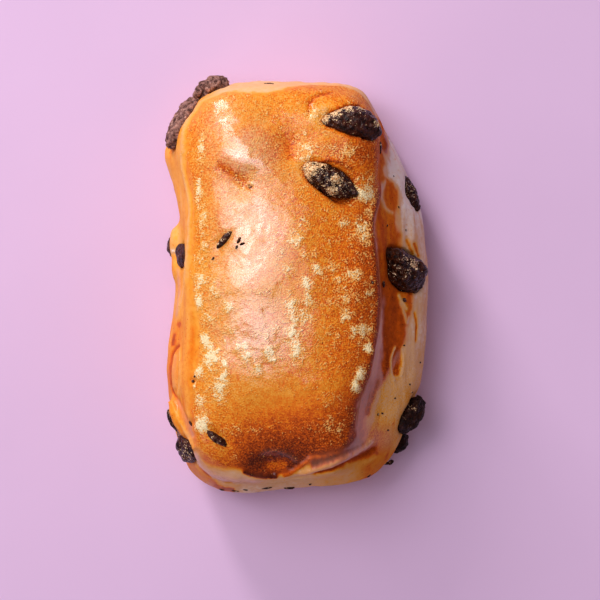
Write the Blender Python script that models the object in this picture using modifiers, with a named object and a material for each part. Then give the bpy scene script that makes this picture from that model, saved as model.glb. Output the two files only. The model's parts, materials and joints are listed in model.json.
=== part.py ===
"""A chocolate-chunk yeast roll: one baked dough body with chunks of chocolate set in its crust.

Metres, +Z up. The roll lies on Z = 0 with its length along Y, and the origin is under its middle.
"""

import math
import random

import bmesh
import bpy
from mathutils import Euler, Vector, noise

MM = 0.001
GOLDEN_ANGLE = math.pi * (3.0 - math.sqrt(5.0))

# The dough's outlines, seen from above: the belly, the crown's shoulder, and how far the base is tucked
# in under the belly. The crown leans to one side of the belly.
BELLY_HALF_WIDTH = 36.8 * MM
BELLY_HALF_LENGTH = 58.4 * MM
CROWN_HALF_WIDTH = 27.2 * MM
CROWN_HALF_LENGTH = 52.6 * MM
CROWN_LEAN = Vector((-3.6, 1.6)) * MM
BASE_TUCK = 6.5 * MM

# Heights above the table.
CROWN_HEIGHT = 46.0 * MM
SHOULDER_HEIGHT = 39.0 * MM

# How square the outline's corners are: 2 is an ellipse, and more is squarer.
SQUARENESS = 4.6
SQUARENESS_LEFT_TO_RIGHT = 1.2

# The coarse cage: its cells along X, Y and Z, and how far down the wall the belly comes.
CAGE_CELLS = (8, 14, 6)
BELLY_AT = 0.66

# How flat the top of the crown is: 2 is a round dome, and more is flatter.
CROWN_FLATNESS = 2.4

# Slow unevenness of the proved dough.
LUMP_SPACING = 17.0 * MM
LUMP_HEIGHT = 0.9 * MM

# The strokes and lumps fade out over this height above the base, which stays flat.
BASE_FADE = 5.0 * MM
FLAT_WITHIN = 0.01 * MM

# The air between a chunk and the dough around it.
CHUNK_GAP = 0.34 * MM

# A chunk's broken faces: how many, how far each lies from the middle (nearest and farthest, for a chunk
# of radius 1), how sharply they meet, and the unevenness over them.
CHUNK_FACETS = 11
FACET_DISTANCE = (0.94, 1.16)
CHUNK_EDGE_SHARPNESS = 6.0
CHUNK_GRAIN = 0.07
CHUNK_GRAIN_SCALE = 2.2

# A chunk no longer than this, in millimetres, is made with fewer faces.
SMALL_CHUNK = 9.5

# Where the dough was pulled, pinched or pushed out while it baked. All in millimetres:
# name: (centre, reach along X, Y and Z, push)
DOUGH_STROKES = {
    "waist on the left": ((-37, 12, 15), (14, 14, 15), (5.6, 0, 0)),
    "ear on the left corner": ((-37, 37.5, 16), (10, 5, 12), (-2.2, 0, 0)),
    "bulge under the waist": ((-37, -26, 18), (10, 14, 16), (-0.4, 0, 0)),
    "bread round the waist chunks": ((-34, 10, 14), (6, 7, 8), (-4.6, 0, 0)),
    "foot of the front left corner": ((-21, -58, 8), (12, 8, 14), (0, -0.8, 0)),
    "drawn-in front left corner": ((-38, -49, 20), (9, 11, 30), (2.0, 0, 0)),
    "straight front edge": ((8, -60, 10), (16, 9, 16), (0, 2.6, 0)),
    "drawn-in front right corner": ((32, -52, 20), (14, 14, 40), (-3.2, 2.6, 0)),
    "foot of the front right corner": ((22, -54, 4), (6, 7, 9), (0, -1.2, 0)),
    "drawn-in right side, front": ((38, -36, 18), (10, 10, 30), (-1.6, 0, 0)),
    "drawn-in right side, back": ((38, 33, 18), (10, 13, 30), (-3.2, 0, 0)),
    "drawn-in back right corner": ((31, 50, 13), (12, 15, 19), (-6.4, -1.8, 0)),
    "crown drawn in, front right": ((24, -36, 38), (13, 18, 12), (-5.0, 0, 0)),
    "crown drawn in, right": ((24, 20, 40), (9, 11, 9), (-1.4, 0, 0)),
    "hollow under the right shoulder": ((25.5, 0, 31), (5, 38, 6), (-3.0, 0, -1.4)),
    "swelling round the corner chunk": ((15, 47, 42), (12, 9, 12), (0.8, 0.6, 3.0)),
    "dimple beside the big blister": ((-3.0, 37.5, 45), (3.4, 4.2, 8), (0, 0, -1.6)),
    "slit dimple": ((-13.4, 28.8, 45), (5.5, 3.4, 8), (0, 0, -1.8)),
    "blister on the back left": ((-17, 42, 44), (9, 9, 9), (0, 0, 1.2)),
    "scoop at the front": ((-6, -49, 39), (8, 4.5, 8), (0, 2.0, -2.6)),
    "lip under the scoop": ((-8, -53, 32), (10, 5, 4), (0, -1.6, 0)),
    "hollow under the front shoulder": ((2, -55, 27), (24, 6, 5), (0, 2.4, -0.4)),
    "hollow under the left shoulder": ((-33, -8, 31), (4, 30, 5), (1.2, 0, -0.4)),
    "bulge round the right chunk": ((31, 1, 22), (7, 8, 9), (1.6, 0, 0.8)),
}

# Chunks of chocolate, in millimetres and degrees: name: (centre, size, turn)
CHUNKS = {
    "chunk_back_right": ((15.0, 44.4, 40.6), (16.5, 8.4, 9.0), (0, -4, 172)),
    "chunk_top_middle": ((8.6, 28.4, 42.0), (16.4, 7.8, 8.0), (0, 4, -31)),
    "chunk_right_shoulder": ((28.9, 4.9, 26.6), (19.0, 11.0, 12.6), (0, 50, -42)),
    "chunk_right_low": ((30.0, 26.5, 17.0), (5.5, 10.6, 8.0), (0, 10, 22)),
    "chunk_front_right": ((31.9, -35.0, 17.0), (6.2, 12.5, 10.0), (0, 0, -30)),
    "chunk_front_right_low": ((28.0, -42.8, 9.5), (6.0, 7.0, 6.6), (0, 0, -14)),
    "chunk_front_left": ((-33.2, -36.2, 18.4), (5.4, 10.2, 8.0), (0, 0, 10)),
    "chunk_front_left_low": ((-30.5, -44.3, 24.0), (5.6, 8.5, 12.0), (0, 30, 36)),
    "chunk_left_waist": ((-32.0, 9.3, 26.0), (1.9, 6.6, 8.0), (0, 20, 0)),
    "chunk_left_rim": ((-34.8, 12.7, 10.4), (3.4, 7.6, 6.0), (0, 0, -8)),
    "chunk_back_left": ((-31.3, 45.6, 22.0), (6.6, 16.4, 20.0), (0, 6, -23)),
    "chunk_back_left_end": ((-23.4, 55.7, 19.0), (6.8, 8.6, 11.0), (0, 0, -68)),
}


def start_empty():
    """Removes what the file opened with."""
    for obj in list(bpy.data.objects):
        bpy.data.objects.remove(obj)


def new_collection(name):
    """A collection in the scene."""
    collection = bpy.data.collections.new(name)
    bpy.context.scene.collection.children.link(collection)
    return collection


def new_material(name, colour, roughness):
    """A Principled BSDF of one colour, given in linear RGB."""
    material = bpy.data.materials.new(name)
    material.use_nodes = True
    shader = material.node_tree.nodes["Principled BSDF"]
    shader.inputs["Base Color"].default_value = (*colour, 1.0)
    shader.inputs["Roughness"].default_value = roughness
    shader.inputs["Metallic"].default_value = 0.0
    material.diffuse_color = (*colour, 1.0)
    return material


def gridded_box(cells):
    """A box from -1 to 1 whose faces are cut into a grid of cells."""
    bm = bmesh.new()
    bmesh.ops.create_cube(bm, size=2.0)
    for axis, count in enumerate(cells):
        normal = Vector((0, 0, 0))
        normal[axis] = 1.0
        for step in range(1, count):
            everything = bm.verts[:] + bm.edges[:] + bm.faces[:]
            at = normal * (2.0 * step / count - 1.0)
            bmesh.ops.bisect_plane(bm, geom=everything, plane_co=at, plane_no=normal)
    return bm


def outline_radius(direction, half_width, half_length):
    """How far a rounded rectangle's edge lies from its middle, along a unit direction."""
    square = SQUARENESS - SQUARENESS_LEFT_TO_RIGHT * direction.x
    across = (abs(direction.x) / half_width) ** square
    along = (abs(direction.y) / half_length) ** square
    return (across + along) ** (-1.0 / square)


def dough_point(corner):
    """Moves a point of the box from -1 to 1 to its place on the dough."""
    ring = max(abs(corner.x), abs(corner.y))
    down = (1.0 - corner.z) / 2.0
    direction = Vector((corner.x * BELLY_HALF_WIDTH, corner.y * BELLY_HALF_LENGTH))
    direction = direction.normalized() if ring > 0 else Vector((1.0, 0.0))
    belly = outline_radius(direction, BELLY_HALF_WIDTH, BELLY_HALF_LENGTH)
    shoulder = outline_radius(direction, CROWN_HALF_WIDTH, CROWN_HALF_LENGTH)
    if down < BELLY_AT:
        share = down / BELLY_AT
        outward = (math.sin(math.pi / 2 * share) + share * share * (3.0 - 2.0 * share)) / 2.0
        radius = shoulder + (belly - shoulder) * outward
        lean = CROWN_LEAN * (1.0 - outward)
    else:
        under = (down - BELLY_AT) / (1.0 - BELLY_AT)
        radius = belly - BASE_TUCK * under**2
        lean = Vector((0.0, 0.0))
    height = SHOULDER_HEIGHT * (1.0 - down)
    if down == 0:
        height += (CROWN_HEIGHT - SHOULDER_HEIGHT) * (1.0 - ring**CROWN_FLATNESS)
    place = lean + direction * radius * ring
    return Vector((place.x, place.y, height))


def stroke_push(point):
    """What all the strokes together do to a point of the dough."""
    push = Vector((0, 0, 0))
    for centre, reach, amount in DOUGH_STROKES.values():
        away = (point - Vector(centre) * MM) / MM
        distance = sum((away[axis] / reach[axis]) ** 2 for axis in range(3))
        push += Vector(amount) * MM * math.exp(-distance)
    return push


def lump_push(point, outward):
    """Slow swells and hollows, which fade out at the base."""
    fade = min(1.0, point.z / BASE_FADE)
    return outward * (LUMP_HEIGHT * fade * noise.noise(point / LUMP_SPACING))


def subdivided(mesh, levels):
    """The mesh after Subdivision Surface, as a new mesh."""
    obj = bpy.data.objects.new("cage", mesh)
    bpy.context.scene.collection.objects.link(obj)
    smooth = obj.modifiers.new("smooth", "SUBSURF")
    smooth.levels = levels
    smooth.render_levels = levels
    smoothed = bpy.data.meshes.new_from_object(obj.evaluated_get(bpy.context.evaluated_depsgraph_get()))
    bpy.data.objects.remove(obj)
    return smoothed


def with_plain_base(mesh):
    """The mesh with its flat base made one face."""
    bm = bmesh.new()
    bm.from_mesh(mesh)
    base = [face for face in bm.faces if max(vertex.co.z for vertex in face.verts) < FLAT_WITHIN]
    bmesh.ops.dissolve_faces(bm, faces=base)
    bm.to_mesh(mesh)
    bm.free()
    return mesh


def dough_mesh():
    """The whole dough before the chunks are let into it."""
    bm = gridded_box(CAGE_CELLS)
    for vertex in bm.verts:
        vertex.co = dough_point(vertex.co)
    cage = bpy.data.meshes.new("dough_cage")
    bm.to_mesh(cage)
    bm.free()
    mesh = subdivided(cage, 1)
    for vertex in mesh.vertices:
        vertex.co += lump_push(vertex.co, vertex.normal)
        vertex.co += stroke_push(vertex.co) * min(1.0, vertex.co.z / BASE_FADE)
    return with_plain_base(mesh)


def chunk_mesh(name, size, grow):
    """A broken lump of chocolate: a blunt-edged polyhedron of random facets, larger all round by grow."""
    chance = random.Random(name)
    facets = []
    for index in range(CHUNK_FACETS):
        height = 1.0 - 2.0 * (index + 0.5) / CHUNK_FACETS
        turn = index * GOLDEN_ANGLE + chance.uniform(-0.5, 0.5)
        across = math.sqrt(1.0 - height * height)
        normal = Vector((across * math.cos(turn), across * math.sin(turn), height))
        facets.append(normal / chance.uniform(*FACET_DISTANCE))
    offset = Vector((chance.uniform(0, 50), chance.uniform(0, 50), chance.uniform(0, 50)))
    bm = bmesh.new()
    fineness = 3 if max(size) > SMALL_CHUNK else 2
    bmesh.ops.create_icosphere(bm, subdivisions=fineness, radius=1.0)
    for vertex in bm.verts:
        ray = vertex.co.normalized()
        total = sum(max(0.0, ray.dot(facet)) ** CHUNK_EDGE_SHARPNESS for facet in facets)
        reach = total ** (-1.0 / CHUNK_EDGE_SHARPNESS)
        reach *= 1.0 + CHUNK_GRAIN * noise.noise(ray * CHUNK_GRAIN_SCALE + offset)
        vertex.co = ray * reach
    spans = [
        max(vertex.co[axis] for vertex in bm.verts) - min(vertex.co[axis] for vertex in bm.verts)
        for axis in range(3)
    ]
    for vertex in bm.verts:
        vertex.co = Vector([vertex.co[axis] * size[axis] * MM / spans[axis] for axis in range(3)])
    bm.normal_update()
    normals = [vertex.normal.copy() for vertex in bm.verts]
    for vertex, normal in zip(bm.verts, normals):
        vertex.co += normal * grow
    mesh = bpy.data.meshes.new(name)
    bm.to_mesh(mesh)
    bm.free()
    return mesh


def place(obj, centre, turn):
    """Sets the object's centre, in millimetres, and its turn, in degrees."""
    obj.location = Vector(centre) * MM
    obj.rotation_euler = Euler([math.radians(angle) for angle in turn])


def add_chunk(name, collection, material):
    """One chunk of chocolate."""
    centre, size, turn = CHUNKS[name]
    obj = bpy.data.objects.new(name, chunk_mesh(name, size, 0.0))
    obj.data.materials.append(material)
    obj.data.shade_smooth()
    place(obj, centre, turn)
    collection.objects.link(obj)
    return obj


def add_socket_cutter(name, collection):
    """The room that a chunk takes in the dough: the chunk's shape with the gap around it."""
    centre, size, turn = CHUNKS[name]
    obj = bpy.data.objects.new("socket_" + name, chunk_mesh(name, size, CHUNK_GAP))
    obj.display_type = "WIRE"
    obj.hide_render = True
    place(obj, centre, turn)
    collection.objects.link(obj)
    return obj


def add_dough(collection, cutters, material):
    """The baked dough with a socket for each chunk."""
    obj = bpy.data.objects.new("dough", dough_mesh())
    obj.data.materials.append(material)
    obj.data.shade_smooth()
    collection.objects.link(obj)
    for cutter in cutters:
        socket = obj.modifiers.new(cutter.name, "BOOLEAN")
        socket.operation = "DIFFERENCE"
        socket.object = cutter
    return obj


def lowest_and_highest(objects):
    """The corners of the box that holds the evaluated objects."""
    graph = bpy.context.evaluated_depsgraph_get()
    points = [
        obj.matrix_world @ vertex.co
        for obj in objects
        for vertex in obj.evaluated_get(graph).data.vertices
    ]
    low = Vector([min(point[axis] for point in points) for axis in range(3)])
    high = Vector([max(point[axis] for point in points) for axis in range(3)])
    return low, high


def centre_on_origin(objects, helpers):
    """Moves everything so that the origin is under the middle of the roll, on its flat base."""
    bpy.context.view_layer.update()
    low, high = lowest_and_highest(objects)
    shift = Vector((-(low.x + high.x) / 2, -(low.y + high.y) / 2, -low.z))
    for obj in objects + helpers:
        obj.location += shift


def main():
    start_empty()
    roll = new_collection("chocolate_yeast_roll")
    cutters = new_collection("socket_cutters")
    crust = new_material("baked_crust", (0.50, 0.20, 0.045), 0.45)
    chocolate = new_material("dark_chocolate", (0.030, 0.011, 0.007), 0.40)
    chunks = [add_chunk(name, roll, chocolate) for name in CHUNKS]
    sockets = [add_socket_cutter(name, cutters) for name in CHUNKS]
    dough = add_dough(roll, sockets, crust)
    centre_on_origin([dough] + chunks, sockets)


main()
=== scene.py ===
import json
import math

import bpy
import numpy as np
from mathutils import Matrix, Vector, noise
from mathutils.bvhtree import BVHTree

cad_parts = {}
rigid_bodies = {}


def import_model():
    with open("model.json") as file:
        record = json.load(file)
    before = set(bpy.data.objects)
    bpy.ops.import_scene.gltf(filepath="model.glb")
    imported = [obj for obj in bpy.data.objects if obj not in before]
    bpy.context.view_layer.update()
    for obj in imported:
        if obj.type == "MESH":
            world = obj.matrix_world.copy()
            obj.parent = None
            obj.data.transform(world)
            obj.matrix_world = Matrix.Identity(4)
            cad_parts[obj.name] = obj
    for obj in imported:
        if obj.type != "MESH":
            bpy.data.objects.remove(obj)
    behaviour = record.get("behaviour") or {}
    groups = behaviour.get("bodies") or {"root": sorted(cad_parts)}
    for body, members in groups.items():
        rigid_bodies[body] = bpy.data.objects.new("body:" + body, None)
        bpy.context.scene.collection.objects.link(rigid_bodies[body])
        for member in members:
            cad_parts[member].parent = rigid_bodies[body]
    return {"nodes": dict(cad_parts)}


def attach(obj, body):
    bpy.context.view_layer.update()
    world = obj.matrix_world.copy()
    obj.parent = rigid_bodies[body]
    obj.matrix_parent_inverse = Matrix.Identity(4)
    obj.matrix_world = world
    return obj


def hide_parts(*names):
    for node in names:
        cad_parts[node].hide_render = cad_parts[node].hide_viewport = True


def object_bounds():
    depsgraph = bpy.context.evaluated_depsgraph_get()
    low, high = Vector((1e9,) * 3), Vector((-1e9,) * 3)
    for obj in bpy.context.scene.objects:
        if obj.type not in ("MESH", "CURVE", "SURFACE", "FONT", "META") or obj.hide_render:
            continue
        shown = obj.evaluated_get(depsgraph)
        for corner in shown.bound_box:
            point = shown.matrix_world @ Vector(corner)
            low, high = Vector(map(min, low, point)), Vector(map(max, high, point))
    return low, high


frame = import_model()
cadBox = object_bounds()
mm = 0.001

# A chocolate yeast roll: an egg-washed milk loaf with a browned crown, pale pulled sides
# and dark chocolate chunks. Tables and vertex moves are in millimetres, materials in metres.


def toLinear(hexCode):
    parts = [int(hexCode[i:i + 2], 16) / 255 for i in (1, 3, 5)]
    return tuple(c / 12.92 if c <= 0.04045 else ((c + 0.055) / 1.055) ** 2.4 for c in parts) + (1.0,)


def addNode(tree, kind, links=None, values=None, **settings):
    node = tree.nodes.new(kind)
    for name, value in settings.items():
        setattr(node, name, value)
    for socket, value in (values or {}).items():
        node.inputs[socket].default_value = value
    for socket, source in (links or {}).items():
        tree.links.new(source, node.inputs[socket])
    return node


def newMaterial(name):
    material = bpy.data.materials.new(name)
    material.use_nodes = True
    material.node_tree.nodes.clear()
    return material, material.node_tree


def selectOnly(piece):
    bpy.ops.object.select_all(action="DESELECT")
    piece.select_set(True)
    bpy.context.view_layer.objects.active = piece


def applyModifier(piece, kind, **settings):
    selectOnly(piece)
    modifier = piece.modifiers.new(kind.lower(), kind)
    for name, value in settings.items():
        setattr(modifier, name, value)
    bpy.ops.object.modifier_apply(modifier=modifier.name)


def copyOfNode(name, nodeName):
    # the CAD mesh is loose triangles, so the copy is merged and squared up first
    mesh = frame["nodes"][nodeName].data.copy()
    mesh.materials.clear()
    piece = bpy.data.objects.new(name, mesh)
    bpy.context.scene.collection.objects.link(piece)
    selectOnly(piece)
    bpy.ops.object.mode_set(mode="EDIT")
    bpy.ops.mesh.select_all(action="SELECT")
    bpy.ops.mesh.remove_doubles(threshold=0.00001)
    bpy.ops.mesh.tris_convert_to_quads()
    bpy.ops.mesh.normals_make_consistent(inside=False)
    bpy.ops.object.mode_set(mode="OBJECT")
    return piece


def readPoints(piece, field="co"):
    values = np.empty(len(piece.data.vertices) * 3)
    if field == "co":
        piece.data.vertices.foreach_get("co", values)
        return values.reshape(-1, 3) / mm
    piece.data.vertex_normals.foreach_get("vector", values)
    return values.reshape(-1, 3)


def writePoints(piece, points):
    piece.data.vertices.foreach_set("co", (points * mm).ravel())
    piece.data.update()


def storeValues(piece, name, values):
    layer = piece.data.attributes.new(name, "FLOAT", "POINT")
    layer.data.foreach_set("value", np.clip(values, 0, 1).astype(np.float32))


def perMetre(size):
    # scale of a noise pattern whose grains are that many millimetres apart
    return 1 / (size * mm)


def smoothStep(low, high, values):
    t = np.clip((values - low) / (high - low), 0, 1)
    return t * t * (3 - 2 * t)


def lumps(points, size, seed, octaves=1):
    # soft noise from -1 to 1 with lumps about that many millimetres apart
    spot = Vector((seed * 7.31, seed * 3.77, seed * 5.13))
    total = np.zeros(len(points))
    weight, step = 1.0, 1.0 / np.array(size, float)
    for octave in range(octaves):
        scaled = points * step
        total += weight * np.array([noise.noise(Vector(p) + spot) for p in scaled])
        weight, step = weight * 0.5, step * 2.03
    return total


def nearTree(piece):
    return BVHTree.FromPolygons([v.co / mm for v in piece.data.vertices],
                                [list(p.vertices) for p in piece.data.polygons])


def smoothLoop(points, steps=8, closed=True):
    # a smooth line through given points
    table = np.array(points, float)
    count = len(table)
    out = []
    for i in range(count if closed else count - 1):
        if closed:
            a, b, c, d = (table[(i + k) % count] for k in (-1, 0, 1, 2))
        else:
            a, b, c, d = (table[min(max(i + k, 0), count - 1)] for k in (-1, 0, 1, 2))
        for step in range(steps):
            t = step / steps
            out.append(0.5 * (2 * b + (c - a) * t + (2 * a - 5 * b + 4 * c - d) * t ** 2
                              + (3 * b - a - 3 * c + d) * t ** 3))
    if not closed:
        out.append(table[-1])
    return np.array(out)


def lineDistance(points, line, closed=False):
    # how far each point is from a line, in its own number of dimensions, and how far along it
    best = np.full(len(points), 1e9)
    along = np.zeros(len(points))
    last = len(line) if closed else len(line) - 1
    for i in range(last):
        start, end = line[i], line[(i + 1) % len(line)]
        run = end - start
        t = np.clip((points - start) @ run / max(run @ run, 1e-9), 0, 1)
        gap = np.linalg.norm(points - start - t[:, None] * run, axis=1)
        closer = gap < best
        best[closer] = gap[closer]
        along[closer] = (i + t[closer]) / last
    return best, along


def isInside(points, line):
    inside = np.zeros(len(points), bool)
    for i in range(len(line)):
        (x1, y1), (x2, y2) = line[i], line[(i + 1) % len(line)]
        crosses = (y1 > points[:, 1]) != (y2 > points[:, 1])
        inside ^= crosses & (points[:, 0] < (x2 - x1) * (points[:, 1] - y1) / (y2 - y1 + 1e-12) + x1)
    return inside


def patch(points, centre, radii, turn=0.0):
    # 1 in the middle of a soft oval patch, 0 outside it; turn is about the upright axis, in degrees
    c, s = math.cos(math.radians(turn)), math.sin(math.radians(turn))
    off = points - np.array(centre, float)
    flat = np.stack([off[:, 0] * c + off[:, 1] * s, off[:, 1] * c - off[:, 0] * s, off[:, 2]], 1)
    return np.exp(-((flat / np.array(radii, float)) ** 2).sum(1))


cameraSetup = {
    "place": (0.97, -4.18, 650),  # straight above, mm
    "sensor": 36,
    "lens": 135.43,               # 168 mm across at 18 mm above the floor
}
bpy.ops.object.camera_add(location=Vector(cameraSetup["place"]) * mm, rotation=(0, 0, 0))
camera = bpy.context.object
camera.name = "overheadCamera"
camera.data.sensor_width = cameraSetup["sensor"]
camera.data.lens = cameraSetup["lens"]
bpy.context.scene.camera = camera
bpy.context.scene.view_settings.view_transform = "Standard"
bpy.context.scene.view_settings.look = "None"

floorSetup = {
    "size": 4000,        # mm
    "colour": "#e1c2ea",
    "clouds": 71.43,     # mm from one cloud to the next
    "unevenness": 0.04,  # how much darker the clouds are
}
bpy.ops.mesh.primitive_plane_add(size=floorSetup["size"] * mm, location=(0, 0, 0))
floor = bpy.context.object
floor.name = "paleFloor"
# painted board, matt: plain and pale, with a trace of unevenness so that it isn't dead flat
floorMaterial, tree = newMaterial("mattPaintedBoard")
spot = addNode(tree, "ShaderNodeTexCoord")
cloudy = addNode(tree, "ShaderNodeTexNoise", {0: spot.outputs["Object"]},
                 {"Scale": perMetre(floorSetup["clouds"]), "Detail": 3})
tint = addNode(tree, "ShaderNodeMapRange", {0: cloudy.outputs[0]},
               {1: 0.3, 2: 0.7, 3: 1 - floorSetup["unevenness"], 4: 1.0})
paint = addNode(tree, "ShaderNodeMix", {7: tint.outputs[0]}, {0: 1.0, 6: toLinear(floorSetup["colour"])},
                data_type="RGBA", blend_type="MULTIPLY")
shader = addNode(tree, "ShaderNodeBsdfPrincipled", {"Base Color": paint.outputs[2]}, {"Roughness": 0.8})
addNode(tree, "ShaderNodeOutputMaterial", {0: shader.outputs[0]})
floor.data.materials.append(floorMaterial)

lightSetup = {
    # name: place in mm, width and height in mm, watts, colour
    "keySoftbox": ((-400, 770, 370), (140, 500), 5.5, "#fbf0ec"),
    "backLeftSoftbox": ((-385, 375, 880), (520, 520), 4.2, "#fdf4f4"),
    "overheadSoftbox": ((-300, 100, 1150), (480, 1000), 4.2, "#fdf6ff"),
    "leftFill": ((-560, -360, 430), (300, 300), 0.5, "#fff6f0"),
}
for name, (place, size, watts, colour) in lightSetup.items():
    aim = Vector((0, 0, 25)) - Vector(place)
    bpy.ops.object.light_add(type="AREA", location=Vector(place) * mm,
                             rotation=aim.to_track_quat("-Z", "Y").to_euler())
    lamp = bpy.context.object
    lamp.name = name
    lamp.data.shape = "RECTANGLE"
    lamp.data.size, lamp.data.size_y = size[0] * mm, size[1] * mm
    lamp.data.energy = watts
    lamp.data.color = toLinear(colour)[:3]

roomSetup = {"colour": "#f6e4e4", "strength": 0.15}
room = bpy.data.worlds.new("softRoom")
bpy.context.scene.world = room
room.use_nodes = True
room.node_tree.nodes.clear()
sky = addNode(room.node_tree, "ShaderNodeBackground", None,
              {"Color": toLinear(roomSetup["colour"]), "Strength": roomSetup["strength"]})
addNode(room.node_tree, "ShaderNodeOutputWorld", {0: sky.outputs[0]})
print("camera, floor and lights are set")


doughSetup = {
    # folds of dough that stand off the sides: centre, half sizes, turn
    "lobes": [((-34.2, 12.0, 17.0), (1.5, 4.6, 5.5), 0), ((-33.4, 4.6, 19.0), (1.5, 3.6, 5.0), 0),
              ((-34.3, -24.4, 22.0), (1.3, 6.4, 6.0), 0), ((30.8, -4.6, 22.0), (3.0, 4.6, 4.0), -8),
              ((-32.2, -38.2, 26.0), (1.6, 7.4, 3.2), 28)],
    "voxel": 0.92,     # grid of the whole body, mm; halved where the roll is seen from above
    "softening": 19,   # passes that take the flat facets off
}

# the edge of the browned crown, clockwise from the back left corner
crownEdge = smoothLoop([
    (-23.4, 50.1), (-18.4, 52.4), (-12.6, 51.9), (-6.6, 52.3), (0.1, 54.2), (6.1, 55.2), (11.8, 55.6),
    (15.8, 54.6), (20.2, 51.6), (22.6, 48.0), (23.3, 43.9), (22.9, 36.3), (22.3, 29.6), (23.1, 26.0),
    (22.1, 20.1), (21.0, 14.9), (21.8, 9.0), (22.6, 1.1), (22.9, -4.3), (22.3, -10.2), (21.3, -16.5),
    (20.2, -23.5), (18.5, -27.3), (16.9, -31.3), (16.1, -38.1), (16.1, -42.2), (13.1, -44.6),
    (9.1, -45.7), (5.0, -46.5), (1.5, -48.7), (-1.8, -50.8), (-7.2, -52.3), (-12.0, -51.8),
    (-15.3, -50.0), (-19.4, -50.3), (-23.4, -49.2), (-26.4, -46.2), (-27.7, -42.2), (-28.6, -35.4),
    (-28.6, -30.5), (-27.7, -25.4), (-26.9, -20.5), (-26.4, -16.5), (-26.4, -10.2), (-27.5, -4.3),
    (-28.6, 2.5), (-28.3, 7.9), (-27.7, 14.7), (-28.3, 21.4), (-29.4, 28.2), (-29.6, 33.6),
    (-29.6, 39.0), (-28.8, 43.1), (-26.9, 46.6)])


def shapeDough():
    roll = copyOfNode("bakedDough", "dough")
    for centre, radii, turn in doughSetup["lobes"]:
        bpy.ops.mesh.primitive_uv_sphere_add(segments=24, ring_count=16, radius=mm, scale=radii,
                                             location=Vector(centre) * mm,
                                             rotation=(0, 0, math.radians(turn)))
        lobe = bpy.context.object
        selectOnly(roll)
        lobe.select_set(True)
        bpy.ops.object.join()
    applyModifier(roll, "REMESH", mode="VOXEL", voxel_size=doughSetup["voxel"] * mm, use_smooth_shade=True)
    applyModifier(roll, "SMOOTH", factor=0.5, iterations=doughSetup["softening"])
    # twice as fine wherever it is seen from above
    normals = np.empty(len(roll.data.polygons) * 3)
    centres = np.empty(len(roll.data.polygons) * 3)
    roll.data.polygons.foreach_get("normal", normals)
    roll.data.polygons.foreach_get("center", centres)
    upward = (normals.reshape(-1, 3)[:, 2] > 0.12) & (centres.reshape(-1, 3)[:, 2] > 17 * mm)
    # chosen here and again below: without this first choice the edges are split a little differently
    roll.data.polygons.foreach_set("select", upward)
    selectOnly(roll)
    bpy.ops.object.mode_set(mode="EDIT")
    bpy.ops.mesh.select_mode(type="FACE")
    bpy.ops.object.mode_set(mode="OBJECT")
    roll.data.polygons.foreach_set("select", upward)
    bpy.ops.object.mode_set(mode="EDIT")
    bpy.ops.mesh.subdivide(number_cuts=1, smoothness=0)
    bpy.ops.object.mode_set(mode="OBJECT")
    applyModifier(roll, "SMOOTH", factor=0.5, iterations=4)
    return roll


roll = shapeDough()
print("dough body:", len(roll.data.vertices), "points")

points = readPoints(roll)
normals = readPoints(roll, "normal")
x, y, z = points.T
high = smoothStep(24, 31, z)         # 1 on the crown and its rim, 0 on the lower walls
upFacing = smoothStep(-0.1, 0.35, normals[:, 2])
gap, along = lineDistance(points[:, :2], crownEdge, closed=True)
side = np.where(isInside(points[:, :2], crownEdge), -gap, gap)   # minus inside the crown
# stretches of the crown's edge, each 1 along its own stretch
rightEdge = smoothStep(6, 14, x) * smoothStep(-30, -22, y)
frontRight = smoothStep(8, 14, x) * (1 - smoothStep(-30, -22, y))
frontEdge = (1 - smoothStep(-46, -40, y)) * (1 - smoothStep(2, 8, x)) * smoothStep(-27, -20, x)
backEdge = smoothStep(44, 50, y)
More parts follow.
